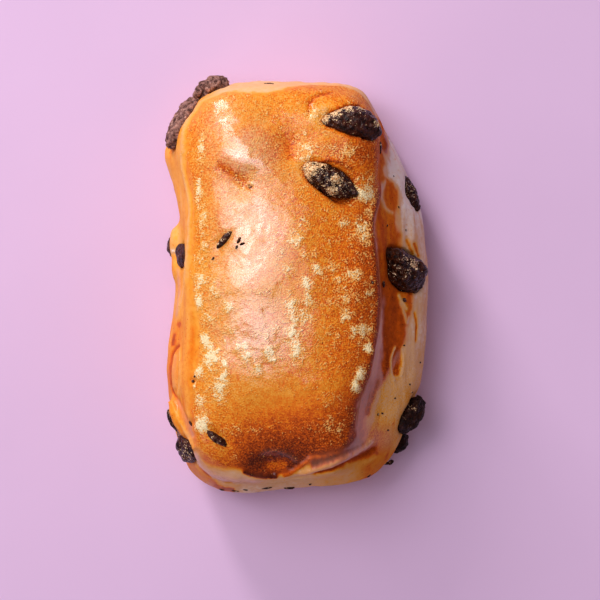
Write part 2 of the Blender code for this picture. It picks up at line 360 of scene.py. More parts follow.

# marks on the roll as seen from above: points, half width, height, brown, pale, milk and reflection
# brown is the browning that the mark is drawn towards, and None leaves it as it is
# pale is dry cream skin, or a clean place where it is below 0, and milk and reflection is the clouded wash,
# which on glossy edges and ridges is a painted reflection
marks = [
    # right: the wash pooled and clouded in a thin line along the crown's edge, a painted reflection along
    # that edge as well
    ([(24.0, 27.8), (22.8, 23.5), (21.5, 19.0), (21.2, 15.2), (21.7, 9.8), (22.6, 2.5), (23.2, -4.3),
      (23.3, -9.3), (23.0, -15.0), (22.2, -20.0), (20.8, -26.0)], 0.5, 0.1, 0.5, 0, 0.85),
    ([(22.6, 27.5), (21.6, 23), (20.0, 18), (19.9, 14.5), (20.5, 9), (21.2, 2), (21.7, -5), (21.4, -11),
      (20.2, -18), (18.7, -25), (16.8, -31)], 0.9, 0.45, 0.72, 0, 0),
    # right: a washed oval and its rim, leaves and streaks on the pulled side
    ([(24.6, 28.9), (23.9, 24.6), (24.5, 21.0), (26.6, 19.6)], 0.4, 0.2, 0.35, 0, 0.7),
    ([(30.6, 12.9), (31.4, 10.7), (32.5, 8.3)], 0.45, -0.15, 0.54, 0, 0),
    ([(32.6, 11.8), (33.5, 9.6), (34.1, 7.7)], 0.5, -0.15, 0.58, 0, 0),
    ([(32.7, -7.3), (33.3, -11.2), (33.2, -16.0)], 0.3, -0.25, 0.6, 0, 0),
    ([(28.6, -1.6), (29.8, -4.6), (30.4, -7.6)], 1.6, 0.1, 0.56, 0, -1),
    ([(27.8, -2.6), (29.0, -4.6), (30.4, -7.0)], 0.45, 0.2, 0.22, 0.3, 0),
    ([(28.4, -4.6), (29.8, -8.0), (30.6, -10.6), (31.2, -8.6)], 0.32, 0.1, 0.3, 0, 0.8),
    ([(28.2, -18.0), (27.8, -21.6), (27.4, -25.2)], 1.4, -0.3, 0.66, 0, 0),
    ([(27.2, -16.8), (26.0, -20.6), (26.3, -24.2), (27.2, -27.0)], 0.32, 0.35, 0.2, 0.35, 0.3),
    ([(29.2, -17.2), (29.6, -21.4), (29.0, -25.6)], 0.32, 0.25, 0.2, 0.3, 0),
    ([(22.4, -25.6), (21.4, -29.0), (20.0, -33.4), (19.2, -36)], 0.7, -0.2, 0.68, 0, -0.4),
    ([(24.8, 42.0), (25.0, 39.0), (24.9, 36.2)], 0.6, 0.2, 0.68, 0, 0),
    ([(23.4, 46.5), (24.6, 43.5)], 0.5, 0, 0.6, 0, 0),
    # front: dark pocket above the lip, its paler floor and the clouded arc over it, the arc a painted
    # highlight
    ([(-13.0, -48.6), (-8.0, -48.0), (-3.0, -47.6), (0.0, -47.0)], 2.4, -0.3, 0.82, 0, 0),
    ([(-8.0, -49.4), (-5.6, -49.2), (-2.6, -49.4)], 1.4, -0.35, 0.62, -0.5, 0),
    ([(-9.3, -45.4), (-5.8, -44.9), (-2.3, -46.3), (0.2, -48.0)], 0.7, 0.2, None, 0, 0.24),
    ([(-14.6, -50.4), (-12.0, -51.6), (-8.0, -52.2), (-5.0, -52.0)], 0.7, 0.5, 0.88, 0, 0),
    ([(3.4, -48.8), (9.0, -47.6), (14.0, -46.2), (18.4, -43.8)], 2.3, 0, 0.8, 0, 0.35),
    ([(-4.0, -52.0), (-0.9, -50.9), (1.8, -48.8), (4.5, -46.3)], 0.7, 0.5, 0.6, 0.05, 0),
    ([(-15.6, -53.0), (-10.5, -54.2), (-5, -54.4), (0.6, -53.2), (4, -52.4)], 0.9, -0.6, 0.22, 0, 0),
    # front right: the ridge with a painted highlight line along it, a brown streak under it, a browned corner
    ([(0.6, -51.8), (5.9, -49.9), (10.5, -48.2), (15.2, -46.4), (18.6, -44.6), (20.6, -42.6)],
     0.8, 0.7, 0.4, 0, 0.8),
    ([(4.5, -51.6), (9.1, -50.4), (14.6, -48.5), (18.9, -46.9), (22.3, -45.0)], 0.6, -0.5, 0.72, 0, -0.5),
    ([(11.6, -48.9), (16.0, -47.8), (20.0, -46.4), (22.2, -45.2)], 1.5, -0.2, 0.69, 0, 0),
    ([(13.0, -50.0), (18.0, -49.2), (22.5, -47.6)], 0.8, 0, 0.4, 0, 0),
    ([(18.4, -43.0), (16.2, -43.4), (14.6, -42.4)], 0.8, 0.1, 0.74, 0.2, 0),
    # front left: a clouded crescent that is a painted reflection, the crease under it and the browned foot
    ([(-27.3, -45.0), (-26.4, -49.0), (-23.8, -51.5), (-20.5, -53.1), (-15.4, -53.6), (-9.4, -53.8)],
     1.15, 0.55, 0.25, 0.1, 1.0),
    ([(-27.0, -50.1), (-22.9, -53.9), (-17.5, -55.0)], 0.5, -0.5, 0.62, 0, 0),
    ([(-24.6, -54.4), (-21.6, -56.8), (-17.0, -57.4)], 1.3, 0, 0.66, 0, 0.3),
    ([(-29.6, -49.6), (-27.0, -53.4), (-23.4, -56.6)], 1.3, 0, 0.50, 0, 0.35),
    ([(-23.6, -53.2), (-20.0, -55.2), (-15.0, -55.8)], 0.5, 0.2, 0.3, 0.15, 0.2),
    # left: thin dry rim along the crown, also a painted highlight line, flap and lobe lower down
    ([(-23.6, 50.6), (-26.9, 47.7), (-29.0, 43.4), (-30.0, 37.9), (-30.6, 32.5), (-30.0, 27.0),
      (-28.8, 20.9), (-29.1, 16.1), (-29.4, 10.6), (-29.9, 5.0), (-30.6, -0.2), (-31.8, -5.6), (-32.3, -9.8)],
     0.42, 0.35, 0.30, 0.55, 0),
    ([(-28.0, 30.0), (-27.6, 25.0), (-27.4, 20.0), (-27.8, 14.0)], 0.35, 0.15, None, 0.4, 0),
    ([(-32.3, -16.6), (-34.3, -18.7), (-34.9, -23.7), (-34.4, -28.6), (-33.1, -31.2)],
     0.36, -0.45, 0.66, 0, 0),
    ([(-31.9, -17.6), (-31.7, -24.8), (-32.2, -30.6)], 0.4, 0.4, 0.36, 0.4, 0),
    ([(-33.2, -19.0), (-33.4, -24.0), (-33.3, -28.6)], 0.7, 0.35, 0.46, 0, 0.4),
    ([(-33.3, -31.3), (-31.4, -34.7), (-29.7, -38.2), (-28.4, -42.0)], 0.75, -0.6, 0.5, 0, 0.7),
    ([(-34.4, -32.2), (-32.5, -36.6), (-30.2, -40.4), (-28.3, -43.8)], 0.4, 0.4, 0.36, 0.35, 0),
    ([(-34.9, -34.0), (-33.3, -38.0), (-31.0, -41.6)], 0.8, 0.3, 0.46, 0, 0),
    ([(-32.1, -10.3), (-32.6, -11.6)], 0.7, 0, 0.62, 0, 0.1),
    # a painted highlight streak down the left side, in the clouded colour
    ([(-33.0, 5.0), (-32.4, -2.0), (-33.2, -9.0)], 0.5, 0.15, None, 0, 0.7),
    ([(-34.6, 3.0), (-34.4, -3.0), (-34.8, -8.0)], 0.5, -0.1, 0.3, 0.3, 0.3),
    ([(-34.4, 16.4), (-34.9, 12.6), (-34.4, 9.6)], 1.3, 0, 0.34, 0.1, 0),
    ([(-34.3, 10.0), (-34.2, 9.0)], 0.6, 0.1, 0.05, 1, 0),
    ([(-33.9, -13.4), (-34.2, -16.8)], 0.45, -0.1, 0.68, 0, 0),
    # crown: slit, red crescent above the middle chunk, shaded dimple, fold at the back right
    ([(-21.4, 32.2), (-17.4, 29.8), (-13.4, 26.9)], 1.7, -0.4, 0.59, -1, 0),
    ([(-13.2, 26.5), (-12.0, 25.9)], 0.42, -0.6, 0.98, -1, 0),
    ([(-17.2, 27.0), (-14.6, 25.4), (-12.2, 24.6)], 0.6, 0.12, 0.40, 0.6, 0),
    ([(4.5, 32.0), (8.2, 33.3), (11.7, 32.7), (15.0, 30.9)], 0.45, 0.2, 0.74, -1, 0),
    ([(-1.6, 39.4), (-1.8, 36.4), (-1.2, 33.6)], 1.5, -0.2, 0.59, -0.5, 0),
    ([(10.0, 52.2), (6.0, 51.2), (3.4, 48.9), (3.6, 45.3)], 0.55, -0.35, 0.62, -0.5, 0),
    ([(8.4, 47.6), (5.4, 46.2), (4.0, 44.0)], 1.2, 0.2, 0.34, 0.5, 0),
    ([(15.5, 48.4), (19.6, 46.4), (22.4, 42.8)], 0.6, 0.15, 0.72, 0, 0),
]
# small dents: centre, half sizes, turn, depth
dents = [
    ((-15.5, 35.5, 44), (7, 7, 12), 0, -0.8),        # a swelling that catches the light
    ((-9.0, 31.5, 44), (6, 6, 12), 0, -0.9),
    ((-19.6, 11.9, 43), (2.7, 1.1, 9), 42, 0.6),     # where the small chips sit
    ((-21.9, -40.4, 41), (2.8, 1.3, 9), -40, 0.7),
    ((-27.8, -26.2, 40), (0.9, 0.9, 9), 0, 0.5),
    ((-28.4, -37.6, 38), (0.9, 1.1, 9), 0, 0.5),
    ((19.6, -18.3, 39), (0.9, 0.9, 9), 0, -0.5),     # beads of pale dough on the crown's edge
    ((17.2, -24.2, 39), (0.9, 1.2, 9), 0, -0.6),
    ((16.0, -27.4, 39), (0.8, 1.1, 9), 0, -0.6),
    ((-27.6, -44.3, 36), (0.9, 0.9, 9), 0, -0.6),
    ((-8.2, -51.3, 36), (0.8, 0.5, 9), 0, -0.4),
    ((-5.6, -51.9, 36), (0.6, 0.5, 9), 0, -0.4),
    ((24.5, 33.0, 30), (2.5, 9, 8), 0, 0.4),
    ((11.5, 41.2, 43), (7.5, 1.3, 9), -17, -0.9),    # lips of crust round the back chunks
    ((-31.0, 43.0, 34), (3.0, 8, 7), 0, -1.8),
    ((-27.0, 50.5, 34), (4, 3, 7), 0, -1.2),
]
reliefSetup = {        # heights in mm
    "rim": 0.30,       # how far the crown's edge stands proud of the sides
    "undercut": 0.55,  # how far the right side is drawn in under it
    "swells": 0.20,    # broad unevenness, 9 mm across
    "pleats": 0.22,    # upright pleats of the right side
    "dimples": 0.07,   # small unevenness, 3 mm across
    "creases": 0.22,   # fine creases of the pulled sides
    "fullness": 1.7,   # how much fuller the crown is towards its right edge
    "blisters": 0.16,  # how far the pale blisters stand up
    "pimples": 0.04,   # grain of the browned skin
}

seenFromAbove = smoothStep(0.02, 0.22, normals[:, 2])
ragged = lumps(points, (0.9, 2.2, 1.4), 13, 2)      # frays the edges of the marks


def markWeight(line, width):
    # how strongly each point takes a mark, 0 to 1, with tapered ends
    table = np.array(line, float)
    reach = 3.5 * width
    near = ((points[:, :2] > table.min(0) - reach) & (points[:, :2] < table.max(0) + reach)).all(1)
    near &= z > 4
    weight = np.zeros(len(points))
    gapToMark, alongMark = lineDistance(points[near, :2], smoothLoop(line, 6, closed=False))
    gapToMark = np.maximum(gapToMark + min(0.45 * width, 0.5) * ragged[near], 0)
    taper = np.clip(np.minimum(alongMark, 1 - alongMark) * 9 + 0.3, 0, 1)
    weight[near] = taper * np.exp(-(gapToMark / width) ** 2)
    return weight * seenFromAbove


weights = [markWeight(line, width) for line, width, *_ in marks]
move = np.zeros(len(points))
for weight, (line, width, height, *_) in zip(weights, marks):
    move += height * weight
for centre, radii, turn, depth in dents:
    move -= depth * patch(points, centre, radii, turn)
# a step all round the browned crown: the rim stands a little proud of the drawn-in side
rim = high * seenFromAbove
proud = np.exp(-((side + 1.1) / 1.0) ** 2) * (rightEdge + 0.5 * backEdge)
drawnIn = np.exp(-((side - 0.9) / 0.8) ** 2) * (rightEdge + 0.5 * frontRight)
move += rim * (reliefSetup["rim"] * proud - reliefSetup["undercut"] * drawnIn)
move += reliefSetup["swells"] * lumps(points, 9.0, 1, 2) * (0.4 + 0.6 * upFacing)
besideCrown = rightEdge * smoothStep(0.3, 1.2, side)
move += reliefSetup["pleats"] * lumps(points, (2.2, 10.0, 6.0), 14, 2) * besideCrown
move += reliefSetup["dimples"] * lumps(points, 3.2, 2, 2)
# the pulled sides are drawn into fine upright creases
pulled = (1 - smoothStep(28, 34, z)) * smoothStep(3, 9, z)
move += pulled * reliefSetup["creases"] * lumps(points, (3.0, 9.0, 5.0), 3, 2)
points = points + normals * move[:, None]
fuller = patch(points, (18.6, 0, 38), (6.5, 34, 16)) * smoothStep(0.3, 0.75, normals[:, 2]) * high
points[:, 2] += reliefSetup["fullness"] * fuller
print("folds and dents are in")


# how far each point is from the nearest chunk, in mm, looked for within 4 mm
nearChunk = np.full(len(points), 9.0)
for nodeName, node in frame["nodes"].items():
    if nodeName == "dough":
        continue
    chunkTree = nearTree(node)
    for i, point in enumerate(points):
        gapToChunk = chunkTree.find_nearest(Vector(point), 4.0)[3]
        if gapToChunk is not None and gapToChunk < nearChunk[i]:
            nearChunk[i] = gapToChunk

# the browned crown ends in a crisp line, except at the front left
edgeSoftness = 0.45 + 0.9 * frontEdge * smoothStep(-4, -12, x)
crown = 1 - smoothStep(-1, 1, (side + 0.45 * lumps(points, 2.2, 11, 2)) / edgeSoftness)
crown *= high
wobble = lumps(points, 7.0, 4, 2)
fineWobble = lumps(points, 2.2, 5, 2)
streaks = lumps(points, (2.0, 12.0, 3.0), 6, 2)


def fade(distance, width, softness):
    return 1 - smoothStep(width, width + softness, distance + 0.5 * fineWobble)


bakeSetup = {             # 0 is pale cream dough, 0.5 golden, 1 nearly burnt
    "crown": 0.50,
    "walls": 0.13,        # low on all sides
    "back": 0.20,         # the others are beside the crown
    "front": 0.15,
    "left": 0.41,
    "right": 0.60,        # as far as the wash ran
    "foot": 0.66,         # where the roll met the tray
    "roundChunks": 0.16,  # how much more beside a chunk
}
wall = bakeSetup["walls"] + 0.05 * wobble + 0.09 * smoothStep(0.1, 0.7, streaks)
# paler towards the back: partly the pale dough, partly painted light where the back of the side catches the
# lamp
wall -= 0.14 * smoothStep(10, 24, y)
wall += 0.16 * smoothStep(-12, -34, y) * smoothStep(-10, 10, x)      # the front right took more heat
cornerHeat = smoothStep(-34, -42, y) * smoothStep(14, 20, x) * smoothStep(30, 24, x)
# the front right corner took more heat; the low front on the left is made paler, painted light on that face
wall += 0.22 * cornerHeat - 0.07 * smoothStep(-50, -54, y) * smoothStep(6, -2, x)
# the wash ran over the right edge and stopped in a ragged line
washWidth = np.interp(y, [-44, -36, -28, -22, -16, -12, -8, -4, 0, 8, 14, 19, 24, 28, 30, 36, 44],
                      [1.0, 1.5, 3.2, 5.4, 7.4, 7.6, 7.8, 8.2, 8.8, 6.5, 6.5, 4.6, 5.0, 3.4, 1.4, 1.4, 0.8])
# and clouded in a band beside the crown, the band's colour partly the clouded wash and partly a painted
# reflection on the steep glossy side
milkAndReflectionWidth = np.interp(y, [-45, -43, -38, -32, -27, -23, -15, -4, 0],
                      [0, 2.6, 4.4, 4.8, 3.8, 2.0, 1.2, 0.4, 0])
onRight = smoothStep(6, 14, x) * smoothStep(-48, -42, y)
onLeft = 1 - smoothStep(-26, -20, x)
onFront = (1 - smoothStep(-50, -45, y)) * (1 - onRight)
onBack = smoothStep(46, 51, y)
sides = wall.copy()
sides += onBack * (bakeSetup["back"] - sides) * fade(side, 3, 5)
sides += onFront * (bakeSetup["front"] - sides) * fade(side, 3, 5)
leftBake = bakeSetup["left"] + 0.06 * smoothStep(-4, -14, y) + 0.04 * wobble + 0.06 * streaks
sides += onLeft * (leftBake - sides) * (1 - smoothStep(20, 8, z) * 0.4)
washed = fade(side + 0.7 * streaks, washWidth, 2.2)
washed *= 1 - smoothStep(45, 51, y) * (1 - smoothStep(23, 35, z + 3 * wobble))    # less far down the back
rightBake = bakeSetup["right"] - 0.03 * smoothStep(4, 14, y) + 0.06 * smoothStep(2, -8, y) + 0.06 * streaks
sides += onRight * (rightBake - sides) * washed
sides = np.maximum(sides, bakeSetup["foot"] * (1 - smoothStep(1.2, 4.0, z)))
bake = sides * (1 - crown) + bakeSetup["crown"] * crown
milkAndReflection = 0.75 * fade(side + 0.5 * streaks, milkAndReflectionWidth, 1.2) * smoothStep(0, 0.6, milkAndReflectionWidth)
milkAndReflection = np.maximum(milkAndReflection, (0.22 * onLeft + 0.4 * cornerHeat + 0.08 * onFront) * (1 - crown))
milkAndReflection = np.maximum(milkAndReflection, 2.2 * washed * (1 - washed)) * onRight * (1 - crown)
pale = np.zeros(len(points))
bare = np.zeros(len(points))      # clean brown places with no blisters, frosting, painted sheen or thick glaze

toned = [    # darker and lighter places on the crown: centre, half sizes, turn, change
    ((-2, -49, 38), (21, 9, 14), 0, 0.30),
    ((2, -38, 42), (20, 6, 12), 0, 0.12),
    ((19.5, 8, 40), (4.5, 36, 12), 0, 0.10),
    ((16.5, -34, 38), (4, 12, 12), 0, 0.12),
    ((16.5, 36, 42), (6, 4, 12), 0, 0.10),
    ((-4.0, 38, 42), (4, 5, 12), 0, 0.08),
    ((-2.6, 24, 43), (3, 4, 12), 0, 0.02),
    ((-16, 6, 44), (14, 36, 12), 0, -0.07),
    ((-25.0, -14, 40), (4, 24, 12), 0, -0.02),
    ((14, 2, 43), (8, 34, 14), 0, 0.06),
    ((-4, -31, 43), (14, 8, 12), 0, -0.04),
    ((6, 44, 41), (5, 4, 12), 0, -0.08),
    ((-14, 49, 40), (10, 5, 12), 0, -0.03),
    ((1, 33, 43), (4, 6, 12), 0, -0.08),
    ((-22, -45, 38), (7, 5, 12), 0, -0.08),
]
for centre, radii, turn, change in toned:
    bake += crown * change * patch(points, centre, radii, turn)
bake += crown * (0.04 * wobble + 0.03 * fineWobble)
broken = np.clip(0.75 + 0.7 * lumps(points, 1.6, 12, 2), 0, 1)
for weight, (line, width, height, brown, dry, cloudAndReflection) in zip(weights, marks):
    if brown is not None:
        bake += np.clip(1.1 * weight, 0, 1) * (brown - bake)
    pale = np.clip(pale + dry * weight * (broken if dry > 0 else 1), 0, 1)
    bare = np.maximum(bare, -dry * weight)
    milkAndReflection = np.clip(milkAndReflection + cloudAndReflection * weight * (0.6 + 0.4 * broken if cloudAndReflection > 0 else 1), 0, 1)
bake += bakeSetup["roundChunks"] * np.exp(-(nearChunk / 0.8) ** 2) * (0.35 + 0.65 * crown)

# pale flecks, where the skin blistered dry: drifts over the crown, x, y, half sizes, how thick
drifts = [
    (-26.0, 6.4, 1.6, 1.6, 0.7), (-24.9, 1.4, 2.6, 2.6, 0.8), (-22.7, -1.3, 3, 2.6, 0.7),
    (-26.2, -3.6, 1.2, 2.8, 1.0), (-23.4, -9.6, 2.4, 4, 0.7), (-18.0, -6.0, 1.8, 1.8, 0.8),
    (-19.4, -13.0, 3, 3, 0.6), (-24.8, -15.6, 1.8, 2.4, 1.0), (-22.6, -19.4, 1.8, 3.2, 1.2),
    (-19.4, -22.6, 1.2, 3.4, 1.2), (-26.2, -23.6, 1.0, 1.3, 1.2), (-27.6, -27.0, 0.8, 1.1, 1.2),
    (-20.6, -28.8, 1.5, 2.2, 1.1), (-22.6, -26.0, 2.6, 3.0, 0.6), (-15.8, -17.0, 1.0, 1.5, 1.1),
    (-13.4, -18.2, 1.6, 2.0, 1.2), (-10.5, -22.9, 1.1, 1.5, 1.2), (-6.6, -18.4, 1.8, 2.0, 1.2),
    (-5.3, -12.6, 1.2, 1.6, 1.1), (-9.4, -13.6, 2.0, 1.6, 0.8), (-12, -20.4, 4.4, 2.0, 0.6),
    (-9.6, -2.2, 2.4, 1.1, 0.7), (-1.0, -5.4, 2.0, 2.6, 1.0), (-1.0, -12.4, 2.0, 3.6, 1.1),
    (0.2, -17.8, 1.4, 2.6, 1.25), (-2.1, 4.6, 1.7, 1.6, 1.0), (-0.8, 12.2, 2.0, 2.0, 1.0),
    (1.6, 16.8, 2.6, 2.0, 0.7), (2.7, 0.6, 1.6, 2.2, 1.0), (5.9, 4.2, 1.6, 2.0, 0.95),
    (2.8, -4.6, 1.6, 3.2, 1.0), (2.4, -9.4, 2.0, 2.4, 0.9), (12.0, 2.6, 4.6, 2.6, 0.85),
    (8.6, 4.6, 2.4, 2.0, 0.75), (11.7, -3.4, 4.2, 3.2, 0.7), (13.6, -8.2, 1.6, 1.8, 0.95),
    (19.6, -1.0, 1.2, 2.4, 0.9), (17.0, -12.6, 2.4, 2.8, 0.95), (19.3, -17.2, 1.1, 1.2, 1.25),
    (17.1, -24.2, 1.0, 1.8, 1.2), (16.0, -27.2, 1.0, 1.5, 1.2), (20.0, -9.0, 0.9, 3.0, 0.7),
    (18.6, 25.4, 2.4, 3.2, 1.05), (17.6, 15.2, 2.2, 3.2, 0.95), (12.9, 16.6, 1.2, 1.6, 0.9),
    (15.6, 22.6, 2, 2, 0.7), (19.9, 19.5, 1.2, 3, 0.8), (13.1, 11.6, 2.4, 2.8, 0.55),
    (18.8, 9.6, 1.4, 3, 0.6), (-25.4, -37.2, 1.3, 2.2, 1.5), (-26.0, -31.2, 1.4, 2.6, 0.7),
    (-27.6, -44.2, 0.9, 1.1, 1.2), (9.6, -31.7, 3, 2.2, 0.5), (15.9, -42.6, 1.4, 1.1, 0.8),
    (8.3, -42.8, 1.6, 1.4, 0.55), (-4.4, 8.0, 2.0, 2.4, 0.6), (3.6, 7.8, 3, 3, 0.55),
    (9.0, 9.4, 3, 3, 0.5), (-22.6, 48.5, 2.4, 1.6, 0.5), (-25.6, 36.3, 1.1, 4, 0.85),
    (-26.2, 25.5, 1.0, 3.4, 0.9), (-25.2, 17.5, 1.1, 4, 0.8), (-24.8, 10.4, 1.0, 2.6, 0.8),
    (2.3, 35.4, 1.6, 3.4, 0.9), (1.0, 40.6, 1.6, 2, 0.7), (5.9, 45.2, 2.4, 1.6, 0.9),
    (13.1, 36.1, 3, 2.4, 0.7), (6.4, 37.4, 3, 1.2, 0.6), (1.0, 22.5, 2.6, 3, 0.6),
    (7.7, 18.5, 3, 2.8, 0.55), (3.6, 14.5, 3, 3, 0.5), (9.0, -14.0, 4, 3, 0.5),
    (-17.2, -46.5, 1.0, 1.6, 1.1), (-22.6, -44.6, 3, 1.8, 0.5), (-16, -41, 5, 3, 0.5),
    (2, -24, 6, 4, 0.35), (8, -39, 4, 3, 0.45), (12, -40, 3, 3, 0.5), (16, 47, 4, 3, 0.5),
    (-8, 47, 8, 3, 0.5), (-12, 28, 4, 3, 0.5),
]
driftSpread = 1.7     # how far a drift thins out beyond its half sizes
thick = np.zeros(len(points))
for cx, cy, rx, ry, amount in drifts:
    around = patch(points, (cx, cy, 42), (rx * driftSpread, ry * driftSpread, 12))
    thick = np.maximum(thick, amount * around)
plain = patch(points, (-2, -31, 43), (17, 6, 14))    # the smooth front of the crown has hardly any
scatter = 0.28 + 0.06 * smoothStep(10, 16, x)        # and a few lie all over the rest
thick = np.maximum(thick, scatter * (1 - 0.8 * plain)) * crown * (1 - 0.6 * smoothStep(-38, -44, y))
thick *= 1 - 0.07 * smoothStep(8, 14, x)
thick = np.maximum(thick, 0.42 * crown * patch(points, (-10, 34, 43), (18, 18, 14)))
fleck = 0.9 * thick * np.clip(0.9 + 0.6 * lumps(points, 3.0, 7) + 0.5 * lumps(points, 1.3, 8), 0.2, 1.2)
fleck = np.clip(np.maximum(fleck, 0.85 * pale), 0, 1)

# fine frosting where the thin skin lifted, together with a painted sheen: paler and silvery over the left of
# the crown
frostAndSheenPatches = [(-20.0, 42, 5, 7, 1.2), (-14, 34, 8, 8, 1.7), (-13, 21, 8, 10, 1.6), (-12, 8, 9, 10, 0.7),
           (-12, -4, 10, 9, 1.1), (-11, -14, 11, 8, 1.2), (-18, -8, 6, 12, 1.2), (-3, 28, 4, 4, 0.6)]
# the wash dried in a thick shiny coat: x, y, half sizes, how thick
thickGlaze = [(-18.8, 42.4, 3.6, 4.0, 1.0), (-12, 36, 7, 7, 1.0), (-14, 28, 6, 3, 0.5),
              (-10, 16, 9, 8, 0.95), (-10, 7, 9, 11, 0.9), (-10, -12, 10, 13, 1.0), (-3, 28, 4, 5, 0.5)]
frostAndSheen = np.zeros(len(points))
for cx, cy, rx, ry, amount in frostAndSheenPatches:
    frostAndSheen = np.maximum(frostAndSheen, 0.65 * amount * patch(points, (cx, cy, 42), (rx, ry, 14)))
frostAndSheen *= crown * (1 - bare) * np.clip(0.8 + 0.5 * wobble + 0.4 * fineWobble, 0, 1)

grain = crown * smoothStep(-0.3, -1.5, side) * (1 - 0.65 * plain)
move = reliefSetup["blisters"] * fleck + reliefSetup["pimples"] * grain * lumps(points, 0.9, 10)
points = points + readPoints(roll, "normal") * move[:, None]

# nothing passes the box that the frame gives
boxLow, boxHigh = np.array(cadBox[0]) / mm + 0.02, np.array(cadBox[1]) / mm - 0.02
boxLow[2] = 0.0
points = np.clip(points, boxLow, boxHigh)
writePoints(roll, points)

gloss = crown * (0.22 - 0.12 * smoothStep(2, 10, x) + 0.04 * plain)
for cx, cy, rx, ry, amount in thickGlaze:
    gloss = np.maximum(gloss, crown * amount * patch(points, (cx, cy, 42), (rx, ry, 14)))
gloss *= (1 - 0.8 * bare) * (1 - 0.7 * patch(points, (2, 39, 43), (7, 8, 14)))
gloss = np.maximum(gloss, 0.6 * milkAndReflection)
gloss = np.maximum(gloss, 0.12 * onLeft * (1 - crown))
frontRightWall = onRight * smoothStep(-14, -30, y) * smoothStep(2, 4, side) * smoothStep(6, 12, z)
grain = np.maximum(grain, 0.8 * frontRightWall)
skinValues = {"bake": bake, "fleck": fleck, "grain": grain, "frostAndSheen": frostAndSheen, "milkAndReflection": milkAndReflection, "gloss": gloss}
for name, values in skinValues.items():
    storeValues(roll, name, values)
selectOnly(roll)
bpy.ops.object.shade_smooth()


crustSetup = {
    # browning, from pale cream dough to nearly burnt
    "browning": [(0.0, "#fff0e6"), (0.14, "#efc094"), (0.30, "#efb066"), (0.40, "#f4a53a"),
                 (0.46, "#eb9228"), (0.52, "#e87c16"), (0.60, "#d25a0c"), (0.70, "#a33f06"),
                 (0.80, "#6f2403"), (0.90, "#431203"), (1.0, "#200903")],
    # frosting, also the colour of the painted sheen
    "frostingAndSheen": "#fbdcc2",
    # golden grains, partly painted glints
    "goldenGrainsAndGlints": "#fcba60",
    "creamBlisters": "#ffebb8",
    # the clouded wash, also the colour of painted reflections on glossy edges
    "cloudedWashAndReflection": "#d29a82",
    "mottleSize": 1.4286,  # mm from one mottle to the next
    "pimpleSize": 0.4545,
    "poreSize": 0.7692,
    "coatRoughness": 0.17,
    "coatIor": 2.1,        # higher than egg's 1.5, to give the thin wash the mirror of a thick one
}


